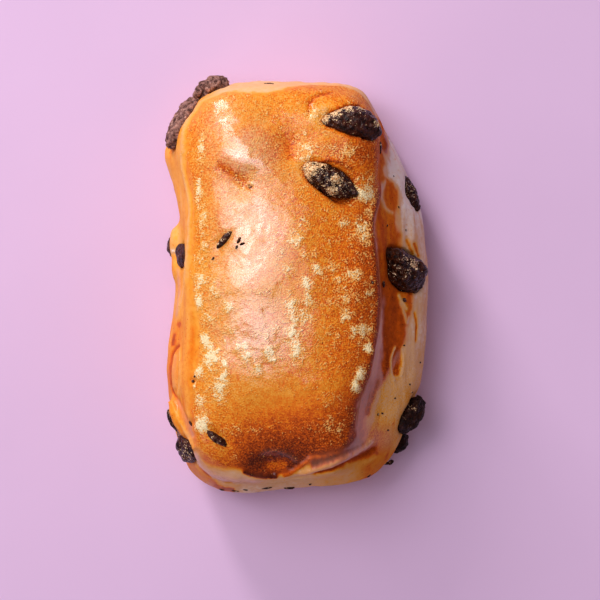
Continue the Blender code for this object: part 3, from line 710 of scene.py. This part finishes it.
def crustMaterial():
    # egg-washed yeast crust, baked: browns by degrees from cream to mahogany, and the dried
    # wash lies over it as a thin clear glaze, clouded where it pooled and broken by a fine pimpled grain;
    # the clouded colour also paints reflections, the frost paints sheen, lighter pimples and golden grains
    # paint glints
    material, tree = newMaterial("eggWashedYeastCrust")
    spot = addNode(tree, "ShaderNodeTexCoord").outputs["Object"]
    bake, fleck, grain, frostAndSheen, milkAndReflection, gloss = (
        addNode(tree, "ShaderNodeAttribute", attribute_name=name).outputs["Fac"] for name in skinValues)
    mottle = addNode(tree, "ShaderNodeTexNoise", {0: spot},
                     {"Scale": perMetre(crustSetup["mottleSize"]), "Detail": 3, "Roughness": 0.6})
    pimples = addNode(tree, "ShaderNodeTexNoise", {0: spot},
                      {"Scale": perMetre(crustSetup["pimpleSize"]), "Detail": 1.5, "Roughness": 0.6})
    poreNoise = addNode(tree, "ShaderNodeTexNoise", {0: spot},
                        {"Scale": perMetre(crustSetup["poreSize"]), "Detail": 2, "Roughness": 0.7})
    # tone: the bake value, mottled, pimpled and pricked with darker pores
    blotch = addNode(tree, "ShaderNodeMapRange", {0: mottle.outputs[0]}, {1: 0.3, 2: 0.7, 3: -0.04, 4: 0.04})
    tone = addNode(tree, "ShaderNodeMath", {0: bake, 1: blotch.outputs[0]}, operation="ADD")
    # pimpled grain, the raised pimples lighter: a painted highlight on their tops
    pimpleGrainAndHighlight = addNode(tree, "ShaderNodeMapRange", {0: pimples.outputs[0]},
                     {1: 0.33, 2: 0.67, 3: 0.09, 4: -0.12})
    tone = addNode(tree, "ShaderNodeMath", {0: pimpleGrainAndHighlight.outputs[0], 1: grain, 2: tone.outputs[0]},
                   operation="MULTIPLY_ADD")
    pores = addNode(tree, "ShaderNodeMapRange", {0: poreNoise.outputs[0]},
                    {1: 0.66, 2: 0.74, 3: 0.0, 4: 0.22})
    tone = addNode(tree, "ShaderNodeMath", {0: tone.outputs[0], 1: pores.outputs[0]}, operation="ADD")
    ramp = addNode(tree, "ShaderNodeValToRGB", {0: tone.outputs[0]})
    stops = crustSetup["browning"]
    while len(ramp.color_ramp.elements) < len(stops):
        ramp.color_ramp.elements.new(0.5)
    for element, (place, colour) in zip(ramp.color_ramp.elements, stops):
        element.position = place
        element.color = toLinear(colour)
    # frosting and painted sheen: tiny dry scales, thicker where the frost-and-sheen value is high
    scales = addNode(tree, "ShaderNodeMapRange", {0: pimples.outputs[0]}, {1: 0.4, 2: 0.64, 3: 0.16, 4: 0.62})
    silver = addNode(tree, "ShaderNodeMath", {0: scales.outputs[0], 1: frostAndSheen}, operation="MULTIPLY")
    frostyAndSheen = addNode(tree, "ShaderNodeMix", {0: silver.outputs[0], 6: ramp.outputs[0]},
                     {7: toLinear(crustSetup["frostingAndSheen"])}, data_type="RGBA")
    # dry blisters: golden grains, lighter on the raised grain as painted glints, that swell to cream and
    # close up where the fleck value is high
    grains = addNode(tree, "ShaderNodeMath", {0: mottle.outputs[0], 1: fleck}, operation="ADD")
    grains = addNode(tree, "ShaderNodeMath", {0: pimples.outputs[0], 2: grains.outputs[0]}, {1: 1.5},
                     operation="MULTIPLY_ADD")
    golden = addNode(tree, "ShaderNodeMapRange", {0: grains.outputs[0]}, {1: 1.67, 2: 1.84, 4: 0.9})
    creamy = addNode(tree, "ShaderNodeMapRange", {0: grains.outputs[0]}, {1: 1.92, 2: 2.14})
    dry = addNode(tree, "ShaderNodeMix", {0: golden.outputs[0], 6: frostyAndSheen.outputs[2]},
                  {7: toLinear(crustSetup["goldenGrainsAndGlints"])}, data_type="RGBA")
    dry = addNode(tree, "ShaderNodeMix", {0: creamy.outputs[0], 6: dry.outputs[2]},
                  {7: toLinear(crustSetup["creamBlisters"])}, data_type="RGBA")
    # clouded wash mixed in, which also paints reflections on glossy edges and ridges
    cloudAndReflection = addNode(tree, "ShaderNodeMath", {0: milkAndReflection}, {1: 0.6}, operation="MULTIPLY")
    cloudedAndReflected = addNode(tree, "ShaderNodeMix", {0: cloudAndReflection.outputs[0], 6: dry.outputs[2]},
                      {7: toLinear(crustSetup["cloudedWashAndReflection"])}, data_type="RGBA")
    rough = addNode(tree, "ShaderNodeMapRange", {0: gloss}, {3: 0.8, 4: 0.55})
    blisters = addNode(tree, "ShaderNodeMapRange", {0: grains.outputs[0]}, {1: 1.55, 2: 2.3})
    pimpleHeight = addNode(tree, "ShaderNodeMath", {0: pimples.outputs[0], 1: grain}, operation="MULTIPLY")
    height = addNode(tree, "ShaderNodeMath", {0: blisters.outputs[0], 2: pimpleHeight.outputs[0]}, {1: 1.2},
                     operation="MULTIPLY_ADD")
    bump = addNode(tree, "ShaderNodeBump", {"Height": mottle.outputs[0]},
                   {"Strength": 0.25, "Distance": 0.3 * mm})
    bump = addNode(tree, "ShaderNodeBump", {"Height": height.outputs[0], "Normal": bump.outputs[0]},
                   {"Strength": 0.6, "Distance": 0.4 * mm})
    glaze = addNode(tree, "ShaderNodeBump", {"Height": pimples.outputs[0]},
                    {"Strength": 0.25, "Distance": 0.1 * mm})
    shader = addNode(tree, "ShaderNodeBsdfPrincipled",
                     {"Base Color": cloudedAndReflected.outputs[2], "Roughness": rough.outputs[0],
                      "Coat Weight": gloss, "Normal": bump.outputs[0], "Coat Normal": glaze.outputs[0]},
                     {"IOR": 1.45, "Specular IOR Level": 0.1,
                      "Coat Roughness": crustSetup["coatRoughness"], "Coat IOR": crustSetup["coatIor"]})
    addNode(tree, "ShaderNodeOutputMaterial", {0: shader.outputs[0]})
    return material


roll.data.materials.append(crustMaterial())
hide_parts("dough")
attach(roll, "root")
print("crust is baked:", len(roll.data.polygons), "faces")


chocolateSetup = {          # sizes in mm
    "breaks": 1.25,         # broken grit
    "crumbs": 0.4167,       # crumbs of dried skin
    "threads": 0.9091,      # cracks that leave the skin in threads
    "skinRoughness": 0.6,
}


def chocolateMaterial(name, look):
    # dark chocolate, broken and baked in: near black where it melted and set shiny, dull and
    # mauve where it bloomed, with dough skin and egg wash dried on it in crumbs and threads, on the shiny
    # chunks also painted glints
    material, tree = newMaterial(name)
    spot = addNode(tree, "ShaderNodeTexCoord").outputs["Object"]
    cover = addNode(tree, "ShaderNodeAttribute", attribute_name="filmAndGlints").outputs["Fac"]
    grit = addNode(tree, "ShaderNodeTexNoise", {0: spot},
                   {"Scale": perMetre(chocolateSetup["breaks"]), "Detail": 4, "Roughness": 0.65})
    fine = addNode(tree, "ShaderNodeTexNoise", {0: spot},
                   {"Scale": perMetre(chocolateSetup["crumbs"]), "Detail": 2})
    facets = addNode(tree, "ShaderNodeTexVoronoi", {0: spot}, {"Scale": perMetre(look["facets"])})
    # the skin, partly painted glints, lies where the grit stands up and the film-and-glints value is high,
    # and cracks run through it
    threads = addNode(tree, "ShaderNodeTexNoise", {0: spot},
                      {"Scale": perMetre(chocolateSetup["threads"]), "Detail": 1.5, "Distortion": 0.6})
    threads = addNode(tree, "ShaderNodeMath", {0: threads.outputs[0]}, {1: 0.5}, operation="SUBTRACT")
    threads = addNode(tree, "ShaderNodeMath", {0: threads.outputs[0]}, operation="ABSOLUTE")
    crumbs = addNode(tree, "ShaderNodeMath", {0: grit.outputs[0], 1: fine.outputs[0]}, operation="ADD")
    crumbs = addNode(tree, "ShaderNodeMath", {0: crumbs.outputs[0], 2: cover}, {1: 1.3},
                     operation="MULTIPLY_ADD")
    laid = addNode(tree, "ShaderNodeMapRange", {0: crumbs.outputs[0]}, {1: 1.72, 2: 1.84})
    plates = addNode(tree, "ShaderNodeMapRange", {0: threads.outputs[0]}, {1: 0.012, 2: 0.034})
    laid = addNode(tree, "ShaderNodeMath", {0: laid.outputs[0], 1: plates.outputs[0]}, operation="MULTIPLY")
    shade = addNode(tree, "ShaderNodeMapRange", {0: grit.outputs[0]}, {1: 0.38, 2: 0.66})
    dark = addNode(tree, "ShaderNodeMix", {0: shade.outputs[0]},
                   {6: toLinear(look["body"][0]), 7: toLinear(look["body"][1])}, data_type="RGBA")
    tint = addNode(tree, "ShaderNodeMapRange", {0: fine.outputs[0]}, {1: 0.35, 2: 0.65})
    pale = addNode(tree, "ShaderNodeMix", {0: tint.outputs[0]},
                   {6: toLinear(look["skin"][0]), 7: toLinear(look["skin"][1])}, data_type="RGBA")
    colour = addNode(tree, "ShaderNodeMix", {0: laid.outputs[0], 6: dark.outputs[2], 7: pale.outputs[2]},
                     data_type="RGBA")
    rough = addNode(tree, "ShaderNodeMapRange", {0: laid.outputs[0]},
                    {3: look["roughness"], 4: chocolateSetup["skinRoughness"]})
    bump = addNode(tree, "ShaderNodeBump", {"Height": grit.outputs[0]},
                   {"Strength": 1.0, "Distance": look["relief"] * mm})
    bump = addNode(tree, "ShaderNodeBump", {"Height": facets.outputs["Distance"], "Normal": bump.outputs[0]},
                   {"Strength": 1.0, "Distance": look["relief"] * mm})
    shader = addNode(tree, "ShaderNodeBsdfPrincipled",
                     {"Base Color": colour.outputs[2], "Roughness": rough.outputs[0],
                      "Normal": bump.outputs[0]},
                     {"IOR": 1.48, "Specular IOR Level": look["shine"]})
    addNode(tree, "ShaderNodeOutputMaterial", {0: shader.outputs[0]})
    return material


# body is dark to light chocolate, skin dark to pale dried skin, which on the melted chocolate also paints
# glints; relief and facets are in mm
glossy = chocolateMaterial("meltedDarkChocolate", {
    "body": ("#160804", "#50220e"), "skin": ("#c06420", "#ffe6bc"),
    "roughness": 0.08, "shine": 0.17, "relief": 1.0, "facets": 1.6667})
dried = chocolateMaterial("driedDarkChocolate", {
    "body": ("#140806", "#3a1c14"), "skin": ("#8c4c24", "#e8c498"),
    "roughness": 0.45, "shine": 0.12, "relief": 0.7, "facets": 1.6667})
glazed = chocolateMaterial("glazedDarkChocolate", {
    "body": ("#1a0806", "#52261a"), "skin": ("#c07424", "#ffe6b4"),
    "roughness": 0.25, "shine": 0.25, "relief": 0.4, "facets": 1.25})
bloomed = chocolateMaterial("bloomedDarkChocolate", {
    "body": ("#4a2c26", "#bc8c7e"), "skin": ("#a87868", "#dcb4a4"),
    "roughness": 0.7, "shine": 0.25, "relief": 1.0, "facets": 2.381})

chunkSetup = {
    "voxel": 0.26,          # mm
    "grow": 0.30,           # fills the gap that the sockets leave, mm
    "faces": (4.2, 0.7),    # broken faces: mm across, weight
    "bumps": (1.9, 0.7),
    "pits": (1.1, -0.9),
}
chunkLooks = {
    # node: material, crag, dried-on patches as place, reach and how thick
    "chunk_back_right": (glazed, 0.5, [((7.6, 45.0, 43), 1.8, 0.9), ((10.4, 47.0, 43), 2.2, 1.0),
                                       ((13.6, 48.4, 43), 2.2, 1.0), ((17.4, 48.0, 42), 1.8, 0.7),
                                       ((21.8, 43.4, 41), 1.3, 0.9), ((14.0, 44.4, 43), 6.0, 0.2)]),
    "chunk_top_middle": (glazed, 0.7, [((3.4, 30.8, 44), 2.2, 1.4), ((6.2, 32.4, 44), 2.2, 0.8),
                                       ((7.6, 29.0, 44), 5.0, 0.38), ((10.6, 28.0, 44), 2.0, 1.0),
                                       ((9.6, 25.2, 44), 1.7, 1.1), ((13.0, 25.4, 43), 3.0, 0.4)]),
    # the right shoulder chunk's patches are dried skin and painted glints
    "chunk_right_shoulder": (glossy, 0.6, [((29.6, 6.8, 31), 1.8, 0.75), ((30.4, 3.4, 31), 1.3, 1.05),
                                           ((32.0, 5.4, 30), 1.5, 1.05), ((26.2, 5.6, 31), 1.8, 0.5),
                                           ((29.0, 4.0, 31), 4.4, 0.34)]),
    "chunk_right_low": (glossy, 0.7, [((30, 27, 19), 5, 0.3)]),
    "chunk_front_right": (dried, 0.9, [((31, -34, 20), 5, 0.2)]),
    "chunk_front_right_low": (dried, 0.9, []),
    "chunk_front_left": (dried, 0.7, [((-33, -36, 20), 7, 0.35)]),
    "chunk_front_left_low": (glazed, 0.5, [((-30.4, -46.4, 27), 4.0, 0.36)]),
    "chunk_left_waist": (glazed, 0.5, []),
    "chunk_left_rim": (glazed, 0.7, []),
    "chunk_back_left": (bloomed, 1.2, [((-31, 45, 24), 9, 0.3)]),
    "chunk_back_left_end": (bloomed, 1.2, [((-23, 55, 24), 6, 0.3)]),
}
# places where a chunk is fuller or slighter than its lump pattern: centre, half sizes, depth
chunkDents = [((-36.5, 37.6, 22), (4, 4.5, 14), 0.9),
              ((23.6, 5.0, 31), (2.4, 6, 8), -0.7), ((-33.2, -46.0, 24), (3, 6, 10), 0.8),
              ((7.0, 41.0, 41), (5, 3, 9), 0.7), ((33.5, -30.2, 17), (7, 2.6, 12), 1.5),
              ((11.0, 21.4, 44), (6, 2.8, 9), 1.7), ((32.0, 8.0, 29), (4, 3.5, 9), 0.6)]

for number, (nodeName, (material, crag, patches)) in enumerate(chunkLooks.items()):
    chunk = copyOfNode(nodeName.replace("chunk_", "chocolate_"), nodeName)
    applyModifier(chunk, "REMESH", mode="VOXEL", voxel_size=chunkSetup["voxel"] * mm, use_smooth_shade=True)
    applyModifier(chunk, "SMOOTH", factor=0.5, iterations=3)
    points = readPoints(chunk)
    normals = readPoints(chunk, "normal")
    # broken faces: cells of a coarse lump pattern, then bumps and pits
    (faceSize, faceWeight), (bumpSize, bumpWeight), (pitSize, pitWeight) = (
        chunkSetup[name] for name in ("faces", "bumps", "pits"))
    push = chunkSetup["grow"] + crag * (
        faceWeight * np.abs(lumps(points, faceSize, 20 + number))
        + bumpWeight * lumps(points, bumpSize, 40 + number)
        + pitWeight * np.abs(lumps(points, pitSize, 60 + number)) + 0.02)
    for centre, radii, depth in chunkDents:
        push -= depth * patch(points, centre, radii)
    points = np.clip(points + normals * push[:, None], boxLow, boxHigh)
    writePoints(chunk, points)
    filmAndGlints = np.zeros(len(points))
    for centre, reach, thickness in patches:
        filmAndGlints = np.maximum(filmAndGlints, thickness * patch(points, centre, (reach, reach, reach + 2)))
    storeValues(chunk, "filmAndGlints", filmAndGlints)
    chunk.data.materials.append(material)
    selectOnly(chunk)
    bpy.ops.object.shade_smooth()
    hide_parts(nodeName)
    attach(chunk, "root")
print("chocolate chunks are in")

# small bits baked into the skin: x, y, length, width, turn, and a height where a bit sticks to a wall
bitSetup = {
    "segments": 2,     # subdivisions of each bit
    "raggedness": 0.3,
    "filmAndGlints": 0.2,       # how much dried skin lies on them
    "dark": [
        (-19.4, 11.9, 6.4, 2.0, 46), (-22.4, 7.0, 1.0, 0.6, 40), (-15.4, 11.9, 1.8, 0.9, 60),
        (-14.5, 10.9, 1.5, 0.7, 20), (-16.0, 10.0, 1.1, 0.7, 70), (-21.7, -41.5, 6.8, 2.6, -36),
        (-27.9, -26.1, 1.0, 0.8, 0), (-27.4, -24.8, 0.6, 0.6, 0), (-28.6, -37.6, 1.8, 0.9, -50),
        (20.4, 0.6, 0.9, 0.7, 90), (22.7, 37.2, 3.4, 0.9, 86), (23.6, 0.2, 1.9, 0.9, -62),
        (29.6, -4.2, 1.4, 1.1, -30), (27.2, -31.3, 0.6, 0.5, 0), (23.6, -35.4, 0.7, 0.6, 0),
        (22.4, -35.6, 0.8, 0.6, 80), (25.3, -40.2, 0.7, 0.5, 0), (32.2, -29.9, 0.6, 0.5, 0),
        (31.4, -27.6, 0.6, 0.5, 0), (29.7, -16.7, 0.6, 0.5, 0), (34.5, -21.6, 0.6, 0.5, 0),
        (-20.9, -57.2, 1.6, 0.6, -10), (-17.1, -57.4, 2.2, 0.6, 0), (-14.2, -57.0, 1.4, 0.5, 5),
        (-8.2, -56.4, 3.4, 0.7, 0), (-2.0, -56.5, 3.0, 0.9, -6), (3.8, -55.4, 0.8, 0.6, 0),
        (20.2, -53.4, 1.4, 0.6, 20), (25.2, -50.6, 3.0, 1.0, -14, 7), (26.8, -50.4, 2.0, 1.3, 30, 7),
        (24.0, -49.8, 1.4, 0.8, 60, 8), (-7.4, 55.2, 2.6, 0.6, 4), (24.8, 16.2, 0.7, 0.5, 60),
        (26.8, 30.0, 0.5, 0.4, 0), (28.2, 21.4, 0.8, 0.4, -60), (30.2, 15.2, 0.9, 0.4, -60),
    ],
    "crumbs": [(-27.6, 53.2, 3.4, 2.2, 40, 22), (-32.3, -41.8, 3.2, 2.0, -60, 20)],
}


def makeBits(name, rows, material):
    skin = nearTree(roll)
    made = []
    for number, (px, py, length, width, turn, *height) in enumerate(rows):
        hit, facing, *_ = skin.ray_cast(Vector((px, py, 60)), Vector((0, 0, -1)))
        if height or hit is None:
            hit, facing = Vector((px, py, height[0] if height else 5)), Vector((0, 0, 1))
        # lengthwise, crosswise and outward directions of the bit
        along = Vector((math.cos(math.radians(turn)), math.sin(math.radians(turn)), 0))
        along = (along - facing * along.dot(facing)).normalized()
        lie = Matrix((along, facing.cross(along), facing)).transposed()
        bpy.ops.mesh.primitive_ico_sphere_add(subdivisions=bitSetup["segments"], radius=mm)
        bit = bpy.context.object
        points = readPoints(bit)
        points *= 1 + bitSetup["raggedness"] * lumps(points, 0.9, 80 + number, 2)[:, None]
        points *= np.array([length / 2, width / 2, 0.5 * width])
        turned = np.array([list(lie @ Vector(p) + hit + 0.1 * width * facing) for p in points])
        writePoints(bit, np.clip(turned, boxLow, boxHigh))
        made.append(bit)
    selectOnly(made[0])
    for bit in made:
        bit.select_set(True)
    bpy.ops.object.join()
    piece = bpy.context.object
    piece.name = name
    storeValues(piece, "filmAndGlints", np.full(len(piece.data.vertices), bitSetup["filmAndGlints"]))
    piece.data.materials.append(material)
    bpy.ops.object.shade_smooth()
    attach(piece, "root")


makeBits("chocolateBits", bitSetup["dark"], glazed)
makeBits("chocolateCrumbs", bitSetup["crumbs"], bloomed)
print("small bits are in")
